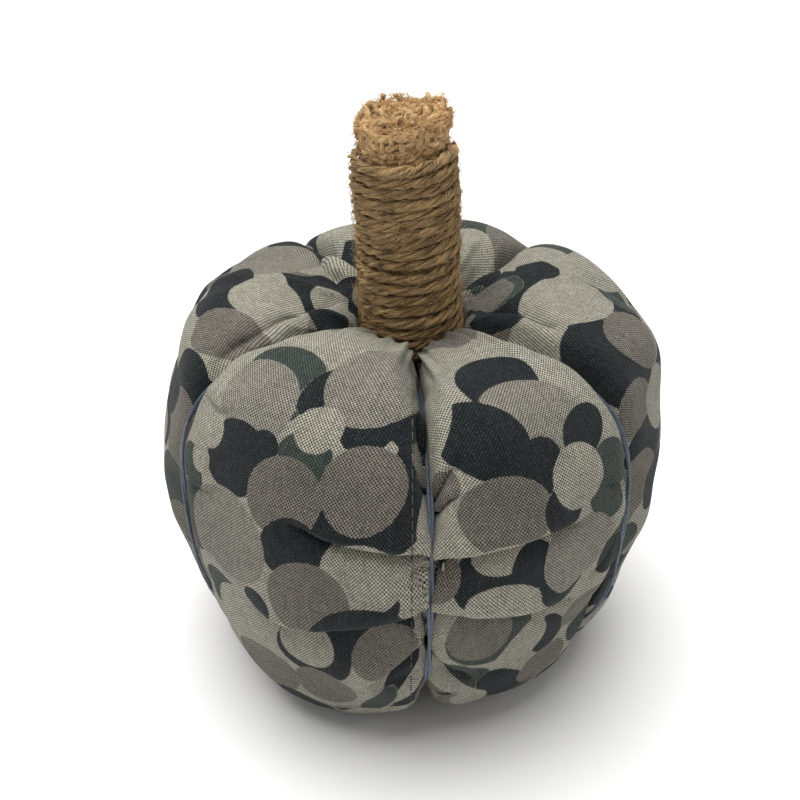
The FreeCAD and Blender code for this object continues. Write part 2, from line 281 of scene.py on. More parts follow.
def closed_sheet(name, front, back, material):
    """A sheet between two grids of points, closed round its rim. The normals_of() the
    front grid point away from the back one."""
    rows, columns = front.shape[0] - 1, front.shape[1] - 1
    count = (rows + 1) * (columns + 1)
    outside = grid_faces(rows, columns)
    edge = [np.arange(columns + 1), np.arange(rows + 1) * (columns + 1) + columns]
    edge += [np.arange(columns, -1, -1) + rows * (columns + 1), np.arange(rows, -1, -1) * (columns + 1)]
    rim = [np.stack([side[:-1], side[:-1] + count, side[1:] + count, side[1:]], 1) for side in edge]
    points = np.concatenate([front.reshape(-1, 3), back.reshape(-1, 3)])
    return new_mesh(name, points, [outside, outside[:, ::-1] + count, *rim], material)


def set_uv(item, across, along):
    """Gives each vertex's place on its cloth or thread, in millimetres, to the material."""
    layer = item.data.uv_layers.new(name="cloth")
    corners = np.zeros(len(item.data.loops), np.int32)
    item.data.loops.foreach_get("vertex_index", corners)
    places = np.stack([across, along], 1)[corners]
    layer.data.foreach_set("uv", places.astype(np.float32).ravel())


def piece(item, slot, *nodes):
    """Parents a piece to the one body, so that it moves with it, and hides the CAD nodes it may stand for.
    The slot is not used."""
    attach(item, "root")
    if nodes:
        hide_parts(*nodes)
    return item


# ---------------------------------------------------------------- materials


class Shader:
    """Builds the nodes of one material."""

    def __init__(self, name, roughness, sheen=0.0):
        self.material = bpy.data.materials.new(name)
        self.material.use_nodes = True
        self.tree = self.material.node_tree
        self.surface = self.tree.nodes["Principled BSDF"].inputs
        self.surface["Roughness"].default_value = roughness
        self.surface["Sheen Weight"].default_value = sheen
        self.surface["Specular IOR Level"].default_value = 0.25

    def give(self, socket, value):
        """Links an output to a socket, or sets the socket to a plain value."""
        if isinstance(value, bpy.types.NodeSocket):
            self.tree.links.new(value, socket)
        else:
            socket.default_value = value

    def node(self, kind, values=(), output=0, **settings):
        """One node's output, with its settings made and its inputs given."""
        made = self.tree.nodes.new(kind)
        for name, value in settings.items():
            setattr(made, name, value)
        for socket, value in dict(values).items():
            self.give(made.inputs[socket], value)
        return made.outputs[output]

    def math(self, operation, first, second=0.0):
        return self.node("ShaderNodeMath", {0: first, 1: second}, operation=operation)

    def times(self, first, second):
        return self.math("MULTIPLY", first, second)

    def plus(self, first, *others):
        for other in others:
            first = self.math("ADD", first, other)
        return first

    def mix(self, factor, first, second):
        return self.node("ShaderNodeMix", {0: factor, 6: first, 7: second}, output=2, data_type="RGBA")

    def spread(self, value, low, high):
        """0 up to low, 1 from high, and a straight line between."""
        return self.node("ShaderNodeMapRange", {0: value, 1: low, 2: high})

    def parts(self, vector):
        """The first two parts of a vector."""
        made = self.tree.nodes.new("ShaderNodeSeparateXYZ")
        self.give(made.inputs[0], vector)
        return made.outputs[0], made.outputs[1]

    def noise(self, x, y, detail=1.0):
        """Noise with features about one unit wide."""
        vector = self.node("ShaderNodeCombineXYZ", {0: x, 1: y})
        values = {"Vector": vector, "Scale": 1.0, "Detail": detail}
        return self.node("ShaderNodeTexNoise", values, noise_dimensions="2D")

    def object_noise(self, width_mm, detail=2.0):
        """Noise in the row frame, with features about that wide."""
        place = self.node("ShaderNodeNewGeometry")
        values = {"Vector": place, "Scale": MM / width_mm, "Detail": detail}
        return self.node("ShaderNodeTexNoise", values)

    def finish(self, colour, height, depth_mm):
        """Gives the surface its colour, and a relief of that depth."""
        self.give(self.surface["Base Color"], colour)
        values = {"Strength": 1.0, "Distance": depth_mm / MM, "Height": height}
        self.give(self.surface["Normal"], self.node("ShaderNodeBump", values))
        return self.material


def rgb(red, green, blue):
    """A colour given as it looks on screen, from 0 to 255."""
    parts = [part / 255 for part in (red, green, blue)]
    linear = [part / 12.92 if part <= 0.04045 else ((part + 0.055) / 1.055) ** 2.4 for part in parts]
    return (*linear, 1.0)


WEAVE_PITCH = 0.42  # from thread to thread; the gaps, darkened with painted shade, are on every second crossing
TONES = ("light", "beige", "taupe", "green", "dark")
PRINT_COLOURS = {
    "light": rgb(153, 150, 136),
    "beige": rgb(131, 127, 116),
    "taupe": rgb(109, 104, 95),
    "green": rgb(54, 63, 57),
    "dark": rgb(13, 23, 26),
}


def canvas_material():
    """Plain-woven cotton, printed with overlapping discs in five tones, with painted shade in its weave:
    lighter thread crowns and dark gaps between the threads.
    """
    shader = Shader("printed_canvas", 0.9, sheen=0.05)
    times, plus = shader.times, shader.plus
    across, along = shader.parts(shader.node("ShaderNodeUVMap", uv_map="cloth"))
    warp, weft = (shader.math("DIVIDE", way, WEAVE_PITCH) for way in (across, along))
    warp_wave, weft_wave = (shader.math("SINE", times(way, math.pi)) for way in (warp, weft))
    crossing = times(warp_wave, weft_wave)
    dome = shader.math("POWER", shader.math("ABSOLUTE", crossing), 0.5)
    warp_on_top = shader.math("GREATER_THAN", crossing, 0.0)
    weft_on_top = shader.math("SUBTRACT", 1.0, warp_on_top)
    warp_number, weft_number = shader.math("FLOOR", warp), shader.math("FLOOR", weft)
    warp_shade = shader.noise(times(warp_number, 3.7), times(along, 0.25))
    weft_shade = shader.noise(times(across, 0.25), times(weft_number, 4.3))
    cell = shader.node("ShaderNodeCombineXYZ", {0: warp_number, 1: weft_number})
    speckle = shader.node("ShaderNodeTexWhiteNoise", {"Vector": cell}, noise_dimensions="2D")
    shade = plus(
        times(plus(times(warp_shade, warp_on_top), times(weft_shade, weft_on_top)), 0.7),
        times(speckle, 0.4),
        # painted shade: the round thread crowns lighter, their edges darker
        times(dome, 0.4),
        # painted shade: dark gaps at every second crossing
        times(shader.math("MINIMUM", crossing, 0.0), plus(speckle, 1.15)),
        times(shader.object_noise(26.0), 0.3),
        0.14,
    )

    fields = shader.tree.nodes.new("ShaderNodeAttribute")
    fields.attribute_name = "print"
    split = shader.tree.nodes.new("ShaderNodeSeparateColor")
    shader.give(split.inputs[0], fields.outputs[0])
    ragged = times(shader.math("SUBTRACT", speckle, 0.5), 0.2)
    colour = PRINT_COLOURS["light"]
    for tone, field in zip(TONES[1:], (*split.outputs, fields.outputs[3])):
        inside = shader.spread(plus(field, ragged), -0.12, 0.12)
        colour = shader.mix(inside, colour, PRINT_COLOURS[tone])
    colour = shader.node("ShaderNodeVectorMath", {0: colour, 3: shade}, operation="SCALE")
    # Pale flecks on the brightest crossings: partly the threads' own tone, partly painted highlight on the
    # thread crowns.
    pale_flecks = times(shader.math("MAXIMUM", shader.math("SUBTRACT", shade, 0.85), 0.0), 0.045)
    colour = shader.node("ShaderNodeVectorMath", {0: colour, 1: pale_flecks}, operation="ADD")
    return shader.finish(colour, dome, 0.09)


def strand_material(name, dark, light, roughness, twist_mm, fineness_mm, relief_mm, sheen=0.0):
    """A thread, ply or fibre: fine streaks that wind round it."""
    shader = Shader(name, roughness, sheen)
    around, along = shader.parts(shader.node("ShaderNodeUVMap", uv_map="cloth"))
    slant = shader.plus(around, shader.times(along, twist_mm))
    streak_x = shader.math("DIVIDE", slant, fineness_mm)
    streaks = shader.noise(streak_x, shader.times(along, 0.35), detail=3.0)
    shade = shader.plus(shader.times(streaks, 0.75), shader.times(shader.object_noise(5.0), 0.35))
    # The streaks run from the dark colour, painted shade in the gaps between the fibres, to the light
    # colour of the fibres themselves.
    colour = shader.mix(shader.spread(shade, 0.38, 0.68), dark, light)
    return shader.finish(colour, streaks, relief_mm)


def glue_material():
    """Set hot glue: amber, smooth and a little cloudy."""
    shader = Shader("hot_glue", 0.35)
    cloud = shader.object_noise(2.5)
    colour = shader.mix(cloud, rgb(176, 132, 84), rgb(206, 170, 122))
    shader.surface["Subsurface Weight"].default_value = 0.3
    shader.surface["Subsurface Scale"].default_value = 1.0 / MM
    return shader.finish(colour, cloud, 0.2)


def filling_material():
    """White polyester fibre: matted and matte."""
    shader = Shader("polyester_fibre", 0.95, sheen=0.3)
    tangle = shader.object_noise(0.8, detail=4.0)
    clump = shader.object_noise(7.0)
    colour = shader.mix(clump, rgb(226, 226, 222), rgb(245, 245, 243))
    return shader.finish(colour, tangle, 0.6)


def floor_material():
    shader = Shader("floor", 0.7)
    colour = shader.mix(shader.object_noise(60.0), rgb(246, 246, 246), rgb(250, 250, 250))
    return shader.finish(colour, 0.0, 0.0)


# ---------------------------------------------------------------- cloth simulation

SIM_SCALE = 10.0  # the cloth is simulated this many times larger, which suits the solver
SIM_FRAMES = 20
SIM_CAP = 5.0  # no point moves further than this
HELD_ROWS = 3


def simulated(name, grid):
    """The grid after its cloth has grown a little and been pushed out by the filling, with its
    edges held in the creases and at both holes."""
    rows, columns = grid.shape[0] - 1, grid.shape[1] - 1
    material = bpy.data.materials.new("simulated")
    item = new_mesh(name, grid.reshape(-1, 3) * SIM_SCALE, [grid_faces(rows, columns)], material)
    held = np.zeros(grid.shape[:2], bool)
    held[:HELD_ROWS] = held[-HELD_ROWS:] = True
    held[:, 0] = held[:, -1] = True
    group = item.vertex_groups.new(name="held")
    group.add([int(index) for index in np.nonzero(held.ravel())[0]], 1.0, "REPLACE")
    cloth = item.modifiers.new("cloth", "CLOTH")
    settings = cloth.settings
    settings.quality = 5
    settings.mass = 0.3
    settings.tension_stiffness = settings.compression_stiffness = 25
    settings.shear_stiffness = 12
    settings.bending_stiffness = 0.6
    settings.air_damping = 2.0
    settings.vertex_group_mass = "held"
    settings.use_pressure = True
    settings.uniform_pressure_force = 1.6
    settings.shrink_min = settings.shrink_max = -0.03
    settings.effector_weights.gravity = 0
    cloth.collision_settings.use_collision = False
    cloth.point_cache.frame_end = SIM_FRAMES
    scene = bpy.context.scene
    for step in range(1, SIM_FRAMES + 1):
        scene.frame_set(step)
    evaluated = item.evaluated_get(bpy.context.evaluated_depsgraph_get())
    points = np.zeros(grid.size, np.float32)
    evaluated.data.vertices.foreach_get("co", points)
    moved = points.reshape(grid.shape) * MM / SIM_SCALE - grid
    scene.frame_set(1)
    bpy.data.objects.remove(item)
    reach = np.linalg.norm(moved, axis=2, keepdims=True)
    return grid + moved * np.minimum(1.0, SIM_CAP / np.maximum(reach, 1e-6))


def blurred(field, times):
    """A grid of values smoothed many times, which leaves only its broad shape."""
    for _ in range(times):
        padded = np.pad(field, ((1, 1), (1, 1), (0, 0)), mode="edge")
        field = (padded[:-2, 1:-1] + padded[2:, 1:-1] + padded[1:-1, :-2] + padded[1:-1, 2:]) / 4
    return field


def refined(field):
    """A grid with one more value between each two, on the smooth cubic surface through it."""
    for axis in (0, 1):
        values = np.moveaxis(field, axis, 0)
        before = np.concatenate([values[:1], values[:-1]])
        after = np.concatenate([values[1:], values[-1:]])
        after_next = np.concatenate([values[2:], values[-1:], values[-1:]])
        between = (9 * (values + after) - before - after_next) / 16
        fine = np.empty((2 * len(values) - 1, *values.shape[1:]))
        fine[::2] = values
        fine[1::2] = between[:-1]
        field = np.moveaxis(fine, 0, axis)
    return field


# ---------------------------------------------------------------- folds and pleats


def line_places(across, along, line):
    """For points on the cloth, the signed distance from a line, positive above it, and how far
    along the line the nearest place is, from 0 to 1."""
    points = np.array(line, float)
    lengths = np.linalg.norm(np.diff(points, axis=0), axis=1)
    starts = np.concatenate([[0], np.cumsum(lengths)])
    best = np.full(across.shape, 1e9)
    signed = np.zeros(across.shape)
    place = np.zeros(across.shape)
    for index, (start, end) in enumerate(zip(points, points[1:])):
        step = (end - start) / lengths[index]
        over, up = across - start[0], along - start[1]
        share = np.clip(over * step[0] + up * step[1], 0, lengths[index])
        off_x, off_y = over - share * step[0], up - share * step[1]
        distance = np.hypot(off_x, off_y)
        side = np.sign(step[0] * off_y - step[1] * off_x)
        nearer = distance < best
        best = np.where(nearer, distance, best)
        signed = np.where(nearer, side * distance, signed)
        place = np.where(nearer, (starts[index] + share) / starts[-1], place)
    return signed, place


FOLD_ROUNDING = 1.1


def fold(grid, across, along, line, lip, sink, width, overhang, taper):
    """Pushes a fold into a grid: the line sinks into the body, the cloth above it swells by lip
    and hangs over it by overhang, and the cloth under it rises again over the width."""
    signed, place = line_places(across, along, line)
    strength = eased(ramp(place, 0, taper[0]) * ramp(1 - place, 0, taper[1]))
    above, below = np.maximum(signed, 0), np.maximum(-signed, 0)
    near = above / FOLD_ROUNDING
    roll = lip * (1 - np.exp(-near)) * np.exp(-((above / width) ** 2))
    crevice = -sink * np.exp(-(near**1.5))
    slope = -sink * (0.5 * np.exp(-below / 1.3) + 0.5 * np.exp(-((below / width) ** 1.2)))
    out = np.where(signed >= 0, roll + crevice, slope) * strength
    hang = overhang * strength * np.where(signed >= 0, 2 * near / (1 + near**2), 0)
    down = unit(-np.gradient(grid, axis=0))
    return grid + normals_of(grid) * out[..., None] + down * hang[..., None]


PLEATS = 10
PLEAT_WIDTH = 0.05  # as a share of half the lobe's width
PLEAT_HEIGHT = 1.5


def pleated(grid, across, lobe, rows_share):
    """Gathers that run out from both holes: ridges at seeded, uneven places, deeper nearer the
    hole."""
    draw = np.random.default_rng(len(lobe) * 13 + 5)
    places = np.linspace(-0.96, 0.96, PLEATS) + draw.uniform(-0.05, 0.05, PLEATS)
    depths = draw.uniform(0.3, 1.0, PLEATS)
    reach = draw.uniform(0.6, 1.15, PLEATS)
    share = across / np.maximum(np.abs(across).max(axis=1, keepdims=True), 1e-6)
    height = np.zeros(share.shape)
    for place, depth, far in zip(places, depths, reach):
        top = ramp(rows_share - (1 - 0.21 * far), 0, 0.13)
        foot = ramp(0.15 * far - rows_share, 0, 0.12)
        growth = (eased(top) + 0.7 * foot)[:, None]
        drift = 0.05 * np.sin(7 * rows_share + 9 * place)[:, None]
        ridge = np.exp(-(((share - place - drift) / PLEAT_WIDTH) ** 2))
        height += growth * depth * ridge
    gathered = ramp(rows_share, 0.82, 0.92) + ramp(0.12 - rows_share, 0, 0.08)
    return grid + normals_of(grid) * (PLEAT_HEIGHT * height - 0.5 * gathered[:, None])[..., None]


LUMPS = ((34.0, 0.55), (19.0, 0.3), (11.0, 0.14))  # (width, height)


def lumpy(grid, lobe):
    """Soft hollows and lumps of the filling under the cloth."""
    draw = np.random.default_rng(len(lobe) + 40)
    lump = np.zeros(grid.shape[:2])
    for wavelength, size in LUMPS:
        for _ in range(5):
            way = draw.normal(size=3)
            way *= 2 * math.pi / wavelength / np.linalg.norm(way)
            lump += size * np.sin(grid @ way + draw.uniform(0, 2 * math.pi)) / math.sqrt(5)
    return grid + normals_of(grid) * lump[..., None]


def kept_apart(grid, lobe, gap):
    """Keeps a lobe on its own side of both of its crease planes."""
    first, second = (math.radians(angle) for angle in bearings_of(lobe))
    middle = (first + second) / 2
    offset = grid - CORE
    radius = np.hypot(offset[..., 0], offset[..., 1])
    bearing = np.arctan2(offset[..., 0], -offset[..., 1])
    bearing = (bearing - middle + math.pi) % (2 * math.pi) - math.pi
    limit = (second - first) / 2 - np.arcsin(np.clip(gap / np.maximum(radius, gap), 0, 1))
    bearing = np.clip(bearing, -limit, limit) + middle
    return polar(radius, bearing, grid[..., 2])


FOLDS = {  # lobe: fold lines on its cloth, left to right, and each fold's lip, sink, width, overhang
    # and tapers
    "front_left": [
        ([(0, 122), (12, 119.7), (24, 118.5), (37, 116)], 1.6, 4.4, 6.0, 1.6, (0.4, 0.01)),
        ([(-11, 90.5), (10.7, 93), (19, 96), (29, 100.5), (37, 104)], 2.2, 7.6, 8.0, 2.6, (0.25, 0.01)),
        ([(-37, 119), (-26, 117), (-13, 121)], 0.6, 1.3, 5.0, 0.5, (0.02, 0.5)),
        ([(-30, 139), (-22, 138), (-14, 141)], 0.5, 1.0, 4.0, 0.4, (0.02, 0.5)),
        ([(26, 111), (32, 112), (38, 112)], 0.5, 1.0, 3.0, 0.6, (0.5, 0.02)),
        ([(-34, 104), (-24, 101), (-13, 100)], 0.6, 1.0, 5.0, 0.4, (0.02, 0.6)),
        ([(17, 70), (26, 79), (36, 88)], 1.2, 4.0, 5.0, 1.0, (0.4, 0.02)),
        ([(22, 155), (30, 149), (36, 146)], 1.0, 1.8, 4.0, 0.8, (0.3, 0.02)),
        ([(28, 137), (33, 138), (37, 137)], 0.6, 1.2, 3.0, 0.5, (0.3, 0.02)),
    ],
    "front_right": [
        ([(-30, 111.5), (-14.3, 114.8), (-1, 115.3), (12, 114)], 1.6, 4.4, 6.0, 1.6, (0.01, 0.35)),
        ([(-30, 98.5), (-14.3, 95.7), (-1, 92.3), (13, 87)], 2.0, 6.4, 8.0, 2.2, (0.01, 0.3)),
        ([(-31, 133), (-25, 133.5), (-15, 137)], 1.1, 2.0, 3.2, 0.9, (0.02, 0.5)),
        ([(-31, 129), (-25, 128), (-17, 129)], 0.9, 1.6, 2.8, 0.7, (0.02, 0.5)),
        ([(-30, 84), (-20, 72), (-10, 62)], 1.2, 4.0, 5.0, 1.0, (0.02, 0.4)),
        ([(12, 123), (20, 118), (26, 116)], 0.6, 1.2, 4.0, 0.4, (0.5, 0.02)),
        ([(4, 103), (15, 103), (26, 107)], 0.6, 1.3, 5.0, 0.5, (0.5, 0.02)),
        ([(12, 92), (20, 96), (26, 98)], 0.7, 1.4, 4.0, 0.5, (0.5, 0.02)),
    ],
    "left": [
        ([(3, 181), (16, 169), (30, 156), (41, 142)], 1.0, 2.6, 4.0, 0.5, (0.1, 0.3)),
        ([(-22, 160), (-10, 169), (-2, 181)], 0.9, 2.2, 4.0, 0.4, (0.3, 0.1)),
    ],
    "right": [
        ([(-26, 157), (-13, 170), (-5, 182)], 1.0, 2.6, 4.0, 0.5, (0.3, 0.1)),
        ([(3, 184), (9, 174), (18, 165)], 0.9, 2.2, 4.0, 0.4, (0.1, 0.3)),
    ],
}


FLOOR_GAP = 0.02
LOBE_GAP = 0.15  # from a lobe's side to its crease plane


def lobe_grid(lobe):
    """The finished outer surface of a lobe, and its places on the cloth."""
    smooth, across, along = lobe_surface(lobe, SIM_ROWS, SIM_COLUMNS)
    wrinkled = simulated(f"{lobe}_cloth", smooth)
    moved = wrinkled - smooth
    broad = blurred(moved, 60)  # most of the broad swelling goes, and the wrinkles stay
    grid = refined(smooth + blurred(moved, 3) - 0.85 * broad)
    across, along = refined(across[..., None])[..., 0], refined(along[..., None])[..., 0]
    grid = lumpy(grid, lobe)
    for line, *shape in FOLDS.get(lobe, []):
        grid = fold(grid, across, along, line, *shape)
    grid = pleated(grid, across, lobe, np.linspace(0, 1, len(grid)))
    grid[..., 2] = np.maximum(grid[..., 2], FLOOR_GAP)
    return kept_apart(grid, lobe, LOBE_GAP), across, along


# ---------------------------------------------------------------- the print

PRINT = {  # lobe: (tone, across, along, radius, and for an ellipse its stretch and turn), last on top
    "front_left": [
        ("light", 0, 115, 58),
        ("green", -9, 151, 10.5), ("beige", -12, 145, 10.2),
        ("dark", 15, 145.5, 5.6), ("dark", 1, 152, 3.6, 1.9, 80), ("dark", 3.5, 151.5, 2.4),
        ("dark", 26, 151, 9, 1.5, -40), ("dark", 31, 135, 9, 1.4, 70),
        ("beige", 12, 158.5, 11.5, 1.15, 80), ("dark", 28, 141, 5.5),
        ("dark", 26, 127, 8), ("dark", 17, 124, 8), ("taupe", 31.5, 143, 5.6),
        ("light", 36, 128, 4, 2.4, 80), ("green", 4, 135.5, 7), ("light", 5, 143.5, 5.4),
        ("taupe", 18.5, 132.5, 9, 1.1, 120),
        ("dark", -13, 131, 8.6, 1.15, 10), ("dark", -6, 136, 4), ("taupe", 1.5, 127, 9.2),
        ("green", -28, 116, 7, 1.6, 90), ("light", -22.5, 134, 4.6), ("light", -24, 126, 3.4),
        ("dark", 6, 115, 8.5), ("green", -29, 104, 6), ("beige", -13.5, 111, 12.2),
        ("light", 29, 104, 6, 1.6, 60), ("dark", 24, 106.5, 5.2), ("light", 21, 112.5, 9),
        ("dark", -5, 96, 4.2), ("taupe", 9, 103, 9.8),
        ("dark", 20, 93, 10, 1.5, 35), ("green", -19, 90, 7), ("light", -12, 86, 9.2),
        ("dark", 7, 82, 9.6), ("light", 5.5, 84, 7.2), ("taupe", 25, 86.5, 6.4, 1.6, 50),
        ("dark", 28, 75, 2.6, 3.6, 55), ("green", 20, 62, 3, 3.4, 60), ("taupe", -9, 67, 9.5),
        ("taupe", 8, 68, 8), ("green", -22, 58, 7), ("dark", -2, 52, 8), ("light", 16, 48, 8),
        ("taupe", -14, 48, 7), ("light", 0, 178, 9), ("taupe", 22, 172, 6), ("green", -18, 170, 5),
    ],
    "front_right": [
        ("light", 0, 115, 58),
        ("dark", 0, 152.5, 9.4), ("dark", -5, 131, 7), ("beige", 2.5, 141, 11.4, 1.12, -30),
        ("dark", -11, 140, 8.8, 1.15, -40), ("light", -19, 147, 4.2, 2.6, 55), ("dark", -5, 133, 5),
        ("dark", 13, 135, 5.4, 1.3, 30), ("dark", 0, 133, 5), ("taupe", -24, 132, 5),
        ("taupe", -11, 123.5, 8.4, 1.25, 0),
        ("dark", 2.5, 121, 5.4), ("green", 18, 121, 8, 1.2, 90), ("light", 8, 126.5, 7.4),
        ("dark", -14, 107, 8.2, 1.2, 0), ("light", -12, 112.5, 5, 1.6, 0), ("dark", -4.5, 107.5, 6),
        ("dark", 5, 101.5, 8.5), ("dark", 22, 97, 6), ("taupe", -27, 107, 5), ("beige", 8, 106, 10.2),
        ("light", -11.5, 100, 5, 1.8, -12), ("green", -12, 86, 11), ("taupe", -15, 87.5, 7.8, 1.25, 90),
        ("dark", 5, 77, 4.8, 1.7, 100), ("taupe", 16, 81, 7.4), ("light", -3, 76, 6, 1.8, 70),
        ("green", -14, 68, 4, 3, -45), ("dark", -4, 60, 6, 1.6, -50), ("taupe", 7, 62.5, 7.4),
        ("green", 20, 66, 5), ("light", -12, 55, 5), ("taupe", 0, 46, 7), ("dark", 14, 50, 6),
        ("taupe", 2, 176, 6), ("light", -10, 168, 8), ("green", 16, 160, 4),
    ],
    "right": [
        ("light", -20, 152, 19), ("light", 12, 156, 12),
        ("dark", -29, 144, 11.5, 1.35, 50), ("dark", -13, 151, 11, 1.3, 15), ("light", -11, 160, 11.5),
        ("taupe", -20, 142, 8.6), ("green", -4, 145.5, 6), ("dark", 5, 164, 4.2, 1.4, 20),
        ("light", 8, 151, 9.5), ("green", 17, 155, 4, 2, -50), ("light", 14, 161, 5, 1.6, 100),
        ("taupe", -35, 129, 8.4),
        ("dark", -33, 118, 7.4, 1.4, 0), ("light", -22, 125, 8), ("taupe", -37, 110, 8),
        ("dark", -25, 104, 8), ("green", -40, 92, 7), ("taupe", 0, 178, 6),
        ("dark", -12, 176, 4, 2, 50), ("taupe", 24, 166, 7),
    ],
    "left": [
        ("light", 22, 152, 19), ("light", -12, 166, 10),
        ("dark", -18, 160, 9), ("beige", -7, 158, 10.4), ("dark", 11, 151.5, 7.4, 1.8, -5),
        ("light", 14, 163, 9.5), ("dark", 7, 173.5, 2.6, 2, 10), ("light", 5, 178, 5),
        ("taupe", 28, 151, 9), ("dark", 35, 136, 7, 1.3, 0),
        ("taupe", 37, 121, 9, 1.4, 90), ("green", 34, 104, 8), ("taupe", 37, 94, 6), ("dark", 24, 126, 7),
        ("light", 20, 138, 7), ("taupe", -24, 172, 5), ("green", 26, 84, 8),
    ],
    "back": [
        ("light", -20, 162, 12), ("light", 22, 162, 12), ("green", -17, 157.5, 7),
        ("light", -16, 165, 7), ("taupe", -25, 155, 7), ("dark", 21, 167, 5, 2, -45),
        ("light", 25, 155, 8), ("dark", 2, 158, 9), ("taupe", 4, 168, 8),
    ],
}


DISC_SPACING = 13.5
DISC_GAPS = 0.16  # the share of places that stay empty
INSIDE_LIMIT = 9.0


def random_print(lobe, width, length):
    """Discs for a lobe at seeded places: green patches on dark ground, then discs in three tones."""
    draw = np.random.default_rng(len(lobe) * 7 + 3)
    discs = [("dark", 0.0, length / 2, length)]
    for _ in range(16):
        discs.append(("green", draw.uniform(-width, width), draw.uniform(0, length), draw.uniform(6, 11)))
    for row in range(int(length / DISC_SPACING) + 2):
        for column in range(-int(width / DISC_SPACING) - 1, int(width / DISC_SPACING) + 2):
            if draw.random() < DISC_GAPS:
                continue
            x = (column + 0.5 * (row % 2) + draw.uniform(-0.3, 0.3)) * DISC_SPACING
            y = (row + draw.uniform(-0.3, 0.3)) * DISC_SPACING * 0.92
            tone = str(draw.choice(["light", "beige", "taupe"]))
            discs.append((tone, x, y, draw.uniform(5.2, 9.6)))
    return discs


def print_fields(discs, across, along):
    """How far inside each tone of the print every point is, in millimetres, and negative outside.
    Later discs cover earlier ones."""
    fields = np.full((*across.shape, len(TONES)), -INSIDE_LIMIT)
    fields[..., 0] = INSIDE_LIMIT
    for tone, x, y, radius, *shape in discs:
        stretch, turn = shape if shape else (1.0, 0.0)
        over, up = across - x, along - y
        cosine, sine = math.cos(math.radians(turn)), math.sin(math.radians(turn))
        long_way, short_way = over * cosine + up * sine, up * cosine - over * sine
        inside = radius - np.hypot(long_way / stretch, short_way)
        own = fields[..., TONES.index(tone)].copy()
        fields = np.minimum(fields, -inside[..., None])
        fields[..., TONES.index(tone)] = np.maximum(own, inside)
    return np.clip(fields, -INSIDE_LIMIT, INSIDE_LIMIT)


CLOTH_THICKNESS = 0.5
FLAP_DEPTH = 3.5


def with_flaps(grid, lobe):
    """The grid with one more column on both sides, which runs from the edge into the body."""
    flaps = []
    for edge, bearing in zip((grid[:, 0], grid[:, -1]), bearings_of(lobe)):
        turn = math.radians(bearing)
        inward = unit(np.cross(np.gradient(edge, axis=0), [math.cos(turn), math.sin(turn), 0.0]))
        flaps.append((edge + inward * FLAP_DEPTH)[:, None])
    return np.concatenate([flaps[0], grid, flaps[1]], axis=1)


def padded_sides(field):
    """A field with its side columns repeated, to match with_flaps()."""
    return np.pad(field, ((0, 0), (1, 1)), mode="edge")


def lobe_piece(lobe, material):
    """One lobe of the cover, as a closed sheet of printed canvas."""
    surface, across, along = lobe_grid(lobe)
    full_width = np.abs(across).max()
    grid, across, along = with_flaps(surface, lobe), padded_sides(across), padded_sides(along)
    inner = grid - normals_of(grid) * CLOTH_THICKNESS
    inner[..., 2] = np.maximum(inner[..., 2], FLOOR_GAP + CLOTH_THICKNESS)
    item = closed_sheet(f"cover_{lobe}", grid, inner, material)
    width = np.abs(across).max(axis=1, keepdims=True)
    slack = 0.35 * full_width / np.maximum(width, 1.0) + 0.65
    set_uv(item, np.tile((across * slack).ravel(), 2), np.tile(along.ravel(), 2))
    discs = random_print(lobe, full_width, along.max()) + PRINT[lobe]
    fields = print_fields(discs, across, along)[..., 1:].reshape(-1, 4)
    layer = item.data.color_attributes.new("print", "FLOAT_COLOR", "POINT")
    layer.data.foreach_set("color", np.tile(fields, (2, 1)).astype(np.float32).ravel())
    piece(item, "canvas", "fabric_cover")
    return surface


# ---------------------------------------------------------------- threads, twine and fibres


def tubes(name, paths, radii, sides, material):
    """Closed tubes round paths of equally many points: paths is (tubes, points, 3), radii (tubes,
    points), both in millimetres."""
    paths, radii = np.asarray(paths, float), np.asarray(radii, float)
    count, length = radii.shape
    ways = unit(np.gradient(paths, axis=1))
    start = np.zeros((count, 3))
    start[np.arange(count), np.abs(ways[:, 0]).argmin(axis=1)] = 1.0
    side = np.zeros_like(paths)
    for index in range(length):
        before = side[:, index - 1] if index else start
        side[:, index] = unit(before - ways[:, index] * (before * ways[:, index]).sum(1, keepdims=True))
    other = np.cross(ways, side)
    angle = np.arange(sides) * 2 * math.pi / sides
    ring = side[:, :, None] * np.cos(angle)[:, None] + other[:, :, None] * np.sin(angle)[:, None]
    points = paths[:, :, None] + ring * radii[:, :, None, None]
    first = (np.arange(count) * length * sides)[:, None, None] + (np.arange(length - 1) * sides)[:, None]
    here, there = np.arange(sides), (np.arange(sides) + 1) % sides
    ahead = first + sides
    quads = np.stack([first + here, first + there, ahead + there, ahead + here], -1).reshape(-1, 4)
    base = np.arange(count) * length * sides
    start_caps = base[:, None] + np.arange(sides)[::-1]
    end_caps = base[:, None] + (length - 1) * sides + np.arange(sides)
    item = new_mesh(name, points.reshape(-1, 3), [quads, start_caps, end_caps], material)
    steps = np.linalg.norm(np.diff(paths, axis=1), axis=2)
    far = np.concatenate([np.zeros((count, 1)), np.cumsum(steps, axis=1)], axis=1)
    around = angle[None, None, :] * radii[:, :, None]
    set_uv(item, around.ravel(), np.repeat(far, sides, axis=1).ravel())
    return item


def evenly(points, step):
    """A line of points again, at equal steps of about that size."""
    distance = travelled(points)
    return resampled(points, distance, np.linspace(0, distance[-1], max(int(distance[-1] / step), 2)))


def softened(line, times):
    """A line of points with its corners smoothed away and its ends kept."""
    line = line.copy()
    for _ in range(times):
        line[1:-1] = (line[:-2] + 2 * line[1:-1] + line[2:]) / 4
    return line


